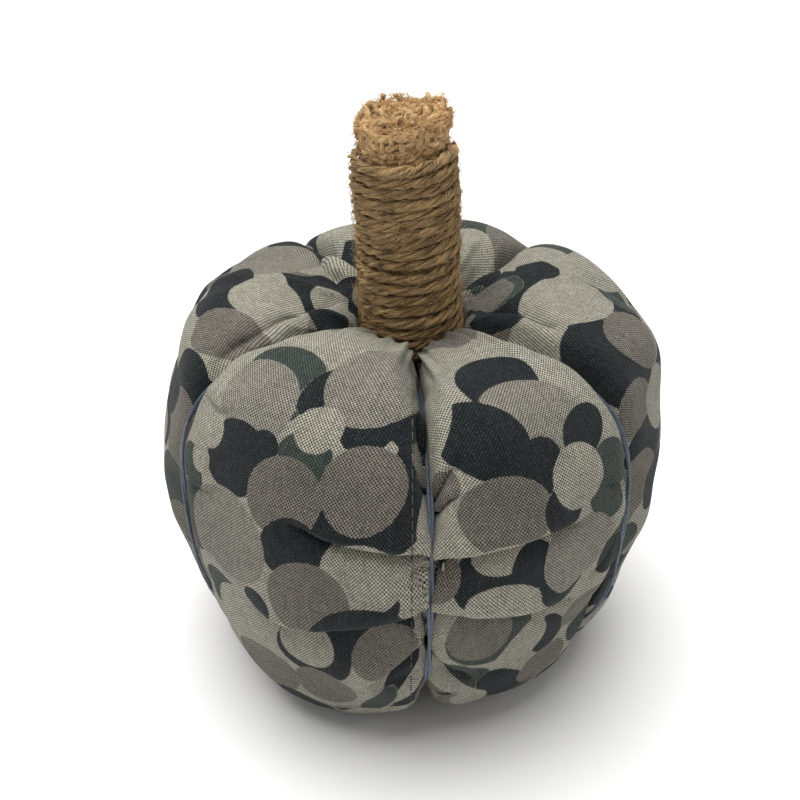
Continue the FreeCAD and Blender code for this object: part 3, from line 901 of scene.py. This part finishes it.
STRAND_RADIUS = 0.36
STRAND_TWIST = 55.0  # the length over which the two strands turn once round each other
KNOT_RADIUS = 0.55
THREAD_HEIGHT, SHALLOW_THREAD_HEIGHT = 1.5, 2.7  # of the thread over the bottom of its crease
GATHER_RADIUS = 0.17
SEAM_BEARING = 0.5
SEAM_ROWS = slice(24, -34)
STITCH_RADIUS = 0.15


def rib_thread(name, bearing, material):
    """The doubled thread of one crease, from its knot under the base, up the crease and down
    through the hole."""
    crease = outline(crease_bends(name), CREASE_FOOT)
    up = np.gradient(crease, axis=0)
    outward = unit(np.stack([up[:, 1], -up[:, 0]], 1))
    route = crease + outward * (SHALLOW_THREAD_HEIGHT if name in SHALLOW_CREASES else THREAD_HEIGHT)
    inside = [(2.5, TOP_HOLE - 3.0), (1.8, TOP_HOLE - 6.0), (1.8, 9.0)]
    route = np.concatenate([[(2.2, 7.5)], route[6:-6], inside])
    route = softened(evenly(route, 0.9), 12)
    turn = math.radians(bearing)
    line = polar(route[:, 0], np.full(len(route), turn), route[:, 1])
    sideways = np.array([math.cos(turn), math.sin(turn), 0.0])
    ways = unit(np.gradient(line, axis=0))
    out = np.cross(sideways, ways)
    twist = travelled(line)[:, None] * 2 * math.pi / STRAND_TWIST + 0.6 * math.sin(bearing)
    offset = (sideways * np.cos(twist) + out * np.sin(twist) * 0.6) * (STRAND_RADIUS + 0.02)
    knot_turn = np.linspace(0, 2 * math.pi, len(line))[:, None]
    up = np.array([0.0, 0.0, 1.0])
    knot = line[0] + KNOT_RADIUS * (np.cos(2 * knot_turn) * sideways + np.sin(2 * knot_turn) * up)
    knot += 0.5 * np.sin(3 * knot_turn) * np.cross(sideways, up)
    paths = np.stack([line + offset, line - offset, knot])
    item = tubes(f"thread_{name}", paths, np.full(paths.shape[:2], STRAND_RADIUS), 8, material)
    return piece(item, "rib_thread", f"rib_thread_{name}")


def gather_thread(name, height, material):
    """A drawn thread: two strands twisted in a ring."""
    turn = np.linspace(0, 2 * math.pi * 0.985, 160)
    twist = 14 * turn
    paths = []
    for phase in (0, math.pi):
        radius = HOLE_RADIUS - 0.2 + GATHER_RADIUS * np.cos(twist + phase)
        paths.append(polar(radius, turn, height + GATHER_RADIUS * np.sin(twist + phase)))
    item = tubes(f"{name}_gathering", paths, np.full((2, len(turn)), GATHER_RADIUS + 0.01), 8, material)
    return piece(item, "sewing_thread", f"{name}_gather_thread")


def side_seam(grid, material):
    """The row of small stitches beside the front crease, on the finished surface."""
    offset = grid - CORE
    angles = np.degrees(np.arctan2(offset[..., 0], -offset[..., 1]))
    line = []
    for row, angle in zip(grid, angles):
        order = np.argsort(angle)
        line.append([np.interp(SEAM_BEARING, angle[order], row[order, axis]) for axis in range(3)])
    line = evenly(np.array(line)[SEAM_ROWS], 0.25)
    ways = unit(np.gradient(line, axis=0))
    out = unit(line - (CORE + np.array([0, 0, EQUATOR])))
    out = unit(out - ways * (out * ways).sum(1, keepdims=True))
    stitch, pitch = 9, 11  # in points of the line
    arch = np.sin(np.linspace(0, math.pi, stitch))[:, None] * 0.25 - 0.05
    starts = range(0, len(line) - stitch, pitch)
    paths = [line[start : start + stitch] + out[start : start + stitch] * arch for start in starts]
    item = tubes("side_seam_stitches", paths, np.full((len(paths), stitch), STITCH_RADIUS), 7, material)
    return piece(item, "sewing_thread", "side_seam_thread")


# ---------------------------------------------------------------- the stem

stem_axis = np.array([-math.sin(STEM_LEAN), 0.0, math.cos(STEM_LEAN)])
stem_right = np.array([math.cos(STEM_LEAN), 0.0, math.sin(STEM_LEAN)])
stem_back = np.array([0.0, 1.0, 0.0])
stem_foot = CORE + np.array([0.0, 0.0, STEM_FOOT])


def on_stem(radius, turn, climb):
    """Points round the stem: at a distance from its axis, at an angle from its right hand side
    towards the back, at a height above its underside."""
    radius, turn, climb = (np.asarray(value, float)[..., None] for value in (radius, turn, climb))
    return stem_foot + radius * (np.cos(turn) * stem_right + np.sin(turn) * stem_back) + climb * stem_axis


TWINE_RADIUS = 1.35
WRAP_RADIUS = 11.4
WINDING_STEPS = [2.2, 2.4, 2.6, 3.3, 3.2, 2.5, 3.3, 3.0, 3.1, 2.6, 2.6, 2.3, 2.4, 2.3, 2.2, 2.8, 2.9, 2.9]
TWINE_START = -4.3
TWINE_TWIST = 13.0  # the length over which the plies turn once round each other
PLIES, YARNS = 3, 4
TWINE_YARN_RADIUS = 0.36


def twine_line():
    """The middle line of the twine, winding by winding, with small unevenness."""
    turns = len(WINDING_STEPS)
    climb_at = np.concatenate([[TWINE_START], TWINE_START + np.cumsum(WINDING_STEPS)])
    turn = np.linspace(0, 2 * math.pi * turns, turns * 88)
    share = turn / (2 * math.pi)
    climb = np.interp(share, np.arange(turns + 1), climb_at)
    climb = softened(climb[:, None], 90)[:, 0]
    climb += 0.2 * np.sin(0.83 * turn + 1.0) + 0.13 * np.sin(2.3 * turn) + 0.08 * np.sin(5.1 * turn)
    radius = WRAP_RADIUS + 0.18 * np.sin(1.37 * turn) + 0.14 * np.sin(3.1 * turn + 0.5)
    return turn, radius, climb


def twine_wrap(material):
    """Three plies, each of a few loose yarns, twisted together and wound round the stem. The end
    bulges over its bead of glue."""
    turn, radius, climb = twine_line()
    middle = on_stem(radius, turn, climb)
    out = on_stem(radius + 1, turn, climb) - middle
    along = travelled(middle)
    twist = 2 * math.pi * along / TWINE_TWIST + 0.6 * np.sin(along / 9.0)
    swell = 1 + 0.1 * np.sin(along / 5.3) + 0.1 * np.sin(along / 2.9 + 1)
    swell[-12:] *= 1 + 0.5 * np.sin(np.linspace(0, math.pi, 12))
    paths, radii = [], []
    for ply in range(PLIES):
        ply_turn = twist + ply * 2 * math.pi / PLIES
        for yarn in range(YARNS):
            yarn_turn = 2.3 * along / TWINE_TWIST * math.pi + yarn * 2 * math.pi / YARNS
            yarn_turn += 0.5 * np.sin(along / 6.1 + 3 * yarn)
            across = 0.62 * np.cos(ply_turn) * 0.85 + 0.3 * np.cos(yarn_turn)  # pressed flat a little
            up = 0.66 * np.sin(ply_turn) + 0.32 * np.sin(yarn_turn)
            paths.append(middle + (across[:, None] * out + up[:, None] * stem_axis) * swell[:, None])
            radii.append(TWINE_YARN_RADIUS * swell * (1 + 0.16 * np.sin(along / 3.7 + 2 * ply + yarn)))
    item = tubes("twine", paths, radii, 5, material)
    return piece(item, "twine", "twine_wrap")


HAIR_POINTS = 7


def fibre_paths(starts, ways, lengths, curl, draw, sag=0.0):
    """Curved hairs: each starts at a place, leaves it along a way and wanders."""
    count = len(starts)
    share = np.linspace(0, 1, HAIR_POINTS)[None, :, None]
    bend_way, bend_more = draw.normal(size=(count, 1, 3)), draw.normal(size=(count, 1, 3))
    lengths = lengths[:, None, None]
    line = starts[:, None] + unit(ways)[:, None] * share * lengths
    line = line + curl * lengths * (bend_way * share**2 + 0.6 * bend_more * np.sin(3 * share) * share)
    line[..., 2] -= sag * (lengths * share**2)[..., 0]
    return line


def tapered(count, thick):
    """Radii that shrink towards the end of each hair."""
    return np.tile(thick * np.linspace(1, 0.35, HAIR_POINTS), (count, 1))


def twine_hairs(material):
    """Loose fibres that lie along the twine and stand a little out of it."""
    draw = np.random.default_rng(21)
    count = 2600
    turn, radius, climb = twine_line()
    pick = draw.integers(20, len(turn) - 20, count)
    lift = draw.uniform(-1.1, 1.25, count)
    out_by = np.sqrt(np.maximum(TWINE_RADIUS**2 - lift**2, 0.01)) * draw.uniform(0.9, 1.12, count)
    starts = on_stem(radius[pick] + out_by, turn[pick], climb[pick] + lift)
    out = starts - on_stem(np.zeros(count), turn[pick], climb[pick] + lift)
    around = np.cross(stem_axis, unit(out)) * draw.choice([-1, 1], (count, 1))
    ways = unit(out) * draw.uniform(-0.05, 0.16, (count, 1)) + around
    ways += stem_axis * draw.normal(0, 0.25, (count, 1))
    lengths = draw.uniform(1.5, 5.0, count)
    lengths[draw.random(count) < 0.05] *= 1.8
    paths = fibre_paths(starts, ways, lengths, 0.09, draw)
    toward = paths - stem_foot
    away = toward - (toward @ stem_axis)[..., None] * stem_axis
    reach = np.linalg.norm(away, axis=2, keepdims=True)
    paths = paths + unit(away) * np.maximum(WRAP_RADIUS + 0.9 - reach, 0)
    item = tubes("twine_hairs", paths, tapered(count, 0.045), 3, material)
    return piece(item, "twine")


ROLL_TURNS = 7.5
ROLL_START, ROLL_END = 1.3, ROLL_RADIUS - 0.5
YARN_SPACING = 1.9
YARN_RADIUS = 0.6
WEFT_ROWS = 6
WEFT_STEP = 0.6
FLARE_DEPTH = 11.0


def burlap_spiral(turn):
    """Radius of the rolled strip at an angle, in radians from where the roll starts."""
    return ROLL_START + (ROLL_END - ROLL_START) * turn / (2 * math.pi * ROLL_TURNS)


def roll_flare(turn, height):
    """How much further out the strip stands near its cut edge, where it is loose and lumpy."""
    share = np.clip((height - (STEM_LENGTH - FLARE_DEPTH)) / FLARE_DEPTH, 0, 1.2)
    lumps = 0.55 * np.sin(3 * turn + 1.2) + 0.4 * np.sin(5 * turn + 0.9 * height)
    lumps = lumps + 0.3 * np.sin(8.3 * turn + 2.0)
    return (1.0 + 0.75 * lumps) * share**1.3 * burlap_spiral(turn) / ROLL_RADIUS


def roll_edge(turn):
    """How much higher or lower than its mean the cut edge is."""
    return 0.9 * np.sin(1.31 * turn + 0.4) + 0.7 * np.sin(3.7 * turn) + 0.4 * np.sin(7.9 * turn + 1.0)


def roll_angles(step):
    """Angles along the rolled strip at equal steps of cloth."""
    turn = np.linspace(0, 2 * math.pi * ROLL_TURNS, 4000)
    far = travelled(burlap_spiral(turn)[:, None] * np.stack([np.cos(turn), np.sin(turn)], 1))
    return np.interp(np.arange(0, far[-1], step), far, turn)


def burlap_roll(material):
    """The rolled strip: upright warp yarns, and weft yarns that follow the spiral over and under
    them. Only the part above the twine is woven yarn by yarn, round a plain core."""
    draw = np.random.default_rng(5)
    climb = np.linspace(STEM_LENGTH - 12.0, STEM_LENGTH, 26)
    paths, radii = [], []
    for number, turn in enumerate(roll_angles(YARN_SPACING)):
        reach = roll_edge(turn) + draw.uniform(-0.6, 0.6)
        line = climb + np.linspace(0, 1, len(climb)) ** 2 * reach
        loose = np.clip((line - (STEM_LENGTH - 6.0)) / 6.0, 0, 1.3) ** 2
        weave = 0.36 * np.cos(math.pi * (line - STEM_LENGTH) / YARN_SPACING + math.pi * number)
        radius = burlap_spiral(turn) + weave + roll_flare(turn, line) + draw.uniform(-0.3, 0.6) * loose
        drift = draw.normal(0, 1.3) / max(burlap_spiral(turn), 3)
        angle = turn + drift * loose + 0.03 * np.sin(line + number)
        paths.append(on_stem(radius, angle, line))
        radii.append(YARN_RADIUS * draw.uniform(0.7, 1.25) * (1 + 0.2 * np.sin(1.9 * line + 2 * number)))
    warp = tubes("burlap_warp", paths, radii, 7, material)
    turn = roll_angles(WEFT_STEP)
    over = math.pi * np.arange(len(turn)) * WEFT_STEP / YARN_SPACING
    paths, radii = [], []
    for row in range(WEFT_ROWS):
        weave = 0.42 * np.cos(over + math.pi * row)
        wander = 0.3 * np.sin(turn * 1.7 + row) + 0.22 * np.sin(turn * 4.1 + 2 * row)
        edge = roll_edge(turn) * (1 - row / WEFT_ROWS)
        height = STEM_LENGTH - 0.9 - YARN_SPACING * row + wander + edge
        radius = burlap_spiral(turn) + weave + roll_flare(turn, height)
        paths.append(on_stem(radius, turn, height))
        uneven = 0.16 * np.sin(turn * 3.3 + row) + 0.12 * np.sin(turn * 11.0 + 2 * row)
        radii.append(1.1 * YARN_RADIUS * (1 + uneven))
    weft = tubes("burlap_weft", paths, radii, 7, material)
    for item in (roll_core(material), warp, weft):
        piece(item, "burlap", "burlap_roll")


def roll_core(material):
    """The lower part of the rolled strip, under the twine, as a closed sheet."""
    thickness = 0.75
    turn = np.linspace(0, 2 * math.pi * ROLL_TURNS, 400)
    levels = np.linspace(0, STEM_LENGTH - 3.0, 24)
    turns, climb = np.meshgrid(turn, levels, indexing="ij")
    inner, outer = (
        on_stem(burlap_spiral(turns) + side * thickness, turns, climb) for side in (-0.5, 0.5)
    )
    item = closed_sheet("burlap_core", inner, outer, material)
    distance = np.repeat(travelled(outer[:, 0]), len(levels))
    set_uv(item, np.tile(distance, 2), np.tile(climb.ravel(), 2))
    return item


def burlap_fray(material):
    """Loose fibres of the cut edge and of the cloth just under it: short, matted and curled."""
    draw = np.random.default_rng(9)
    count = 4200
    turn = 2 * math.pi * ROLL_TURNS * np.sqrt(draw.random(count))
    on_side = draw.random(count) < 0.22
    turn = np.where(on_side, 2 * math.pi * (ROLL_TURNS - draw.random(count)), turn)
    drop = np.where(on_side, draw.uniform(-8.5, 0.5, count), draw.uniform(-1.6, 0.5, count))
    height = STEM_LENGTH + roll_edge(turn) + drop
    off_cloth = np.where(on_side, 0.7, draw.normal(0, 0.45, count))
    radius = burlap_spiral(turn) + roll_flare(turn, height) + off_cloth
    starts = on_stem(radius, turn, height)
    out = unit(starts - on_stem(np.zeros(count), turn, height))
    around = np.cross(stem_axis, out) * draw.choice([-1, 1], (count, 1))
    ways = out * draw.normal(-0.05, 0.2, (count, 1)) + around * draw.uniform(0.3, 1.2, (count, 1))
    ways = ways + stem_axis * draw.normal(0.0, 0.3, (count, 1))
    lengths = draw.uniform(0.6, 2.1, count)
    lengths[draw.random(count) < 0.012] *= 3.0
    paths = fibre_paths(starts, ways, lengths, 0.5, draw, sag=0.15)
    item = tubes("burlap_fray", paths, tapered(count, 0.085), 3, material)
    return piece(item, "burlap")


# ---------------------------------------------------------------- what is inside


FILL_INSET = 1.2  # in from the cloth
FILL_PULL = 4.0  # and further towards the middle of the body
CHANNEL_RADIUS = 3.0


def fibrefill(material):
    """The filling: it follows the cover from inside, with a channel for the threads."""
    rows, columns = 64, 20
    rings = []
    for lobe in LOBES:
        grid, _, _ = lobe_surface(lobe, rows, columns)
        inward = unit(CORE + np.array([0, 0, EQUATOR]) - grid)
        grid = grid - normals_of(grid) * FILL_INSET + inward * FILL_PULL
        grid[..., 2] = np.maximum(grid[..., 2], 1.0)
        rings.append(kept_apart(grid, lobe, 0.8)[:, :-1])
    shell = np.concatenate(rings, axis=1)
    around = shell.shape[1]
    offset = shell[-1] - CORE
    bearing = np.arctan2(offset[:, 0], -offset[:, 1])
    heights = np.linspace(TOP_HOLE - 7, 15, 20)
    radius = np.full(around, CHANNEL_RADIUS)
    channel = [polar(radius, bearing, np.full(around, height)) for height in heights]
    points = np.concatenate([shell, channel])
    total = len(points)
    ring, place = np.meshgrid(np.arange(total), np.arange(around), indexing="ij")
    ahead, beside = (ring + 1) % total, (place + 1) % around
    corners = [(ring, place), (ring, beside), (ahead, beside), (ahead, place)]
    faces = np.stack([(first * around + second).ravel() for first, second in corners], 1)
    item = new_mesh("filling", points.reshape(-1, 3), [faces], material)
    piece(item, "fill", "fibrefill")


# ---------------------------------------------------------------- scene


CAMERA_AIM = Vector((-2.92, 0.54, 69.5)) / MM
CAMERA_DISTANCE = 311.6 / MM
CAMERA_ELEVATION = math.radians(33.26)
CAMERA_TURN = math.radians(0.65)
CAMERA_LENS = 54.67


def add_camera():
    data = bpy.data.cameras.new("camera")
    data.lens, data.sensor_width = CAMERA_LENS, 36.0
    item = bpy.data.objects.new("camera", data)
    item.rotation_euler = Euler((math.pi / 2 - CAMERA_ELEVATION, 0, CAMERA_TURN))
    away = item.rotation_euler.to_matrix() @ Vector((0, 0, CAMERA_DISTANCE))
    item.location = CAMERA_AIM + away
    bpy.context.scene.collection.objects.link(item)
    bpy.context.scene.camera = item


def add_floor():
    """A wide, flat, pale floor."""
    reach = 3000.0
    points = [(-reach, -reach, 0), (reach, -reach, 0), (-reach, reach, 0), (reach, reach, 0)]
    item = new_mesh("floor", points, [np.array([[0, 1, 3, 2]])], floor_material())


def add_light():
    """A bright, even studio: white surroundings and one broad, soft light overhead."""
    world = bpy.data.worlds.new("studio")
    bpy.context.scene.world = world
    world.use_nodes = True
    background = world.node_tree.nodes["Background"].inputs
    background["Color"].default_value = (1.0, 1.0, 1.0, 1.0)
    background["Strength"].default_value = 0.36
    lamp = bpy.data.lights.new("key", "AREA")
    lamp.shape, lamp.size, lamp.energy, lamp.color = "DISK", 1.9, 46.0, (1.0, 0.995, 0.98)
    item = bpy.data.objects.new("key", lamp)
    item.location = (-0.2, 0.1, 1.7)
    item.rotation_euler = (Vector((0, 0, 0.06)) - item.location).to_track_quat("-Z", "Y").to_euler()
    bpy.context.scene.collection.objects.link(item)


canvas = canvas_material()
# The dark colour of each strand material is painted shade between its fibres; the light colour is the
# fibres' own.
rib_strand = strand_material(
    "blue_thread", rgb(46, 54, 66), rgb(96, 106, 122), 0.5, 0.9, 0.22, 0.05, sheen=0.1
)
sewing_strand = strand_material("dark_thread", rgb(52, 50, 46), rgb(92, 88, 80), 0.6, 0.9, 0.12, 0.03)
twine_strand = strand_material("jute_twine", rgb(50, 35, 20), rgb(198, 164, 114), 0.85, 0.5, 0.2, 0.2, 0.1)
burlap_yarn = strand_material("burlap_yarn", rgb(112, 76, 42), rgb(226, 190, 138), 0.85, 0.5, 0.2, 0.2, 0.1)
loose_fibre = strand_material("jute_fibre", rgb(128, 98, 62), rgb(204, 172, 124), 0.75, 0.2, 0.2, 0.02)
frayed_fibre = strand_material("burlap_fibre", rgb(176, 132, 82), rgb(230, 198, 148), 0.75, 0.2, 0.2, 0.02)

grids = {lobe: lobe_piece(lobe, canvas) for lobe in LOBES}
for name, bearing in CREASES.items():
    rib_thread(name, bearing, rib_strand)
gather_thread("top", TOP_HOLE - 0.35, sewing_strand)
gather_thread("bottom", FOOT_HOLE + 0.35, sewing_strand)
side_seam(grids["front_left"], sewing_strand)
twine_wrap(twine_strand)
twine_hairs(loose_fibre)
burlap_roll(burlap_yarn)
burlap_fray(frayed_fibre)
fibrefill(filling_material())
glue = glue_material()
for node in ("stem_glue", "twine_end_glue"):
    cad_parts[node].data.materials.clear()
    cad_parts[node].data.materials.append(glue)

add_floor()
add_light()
add_camera()
bpy.context.scene.view_settings.view_transform = "Standard"
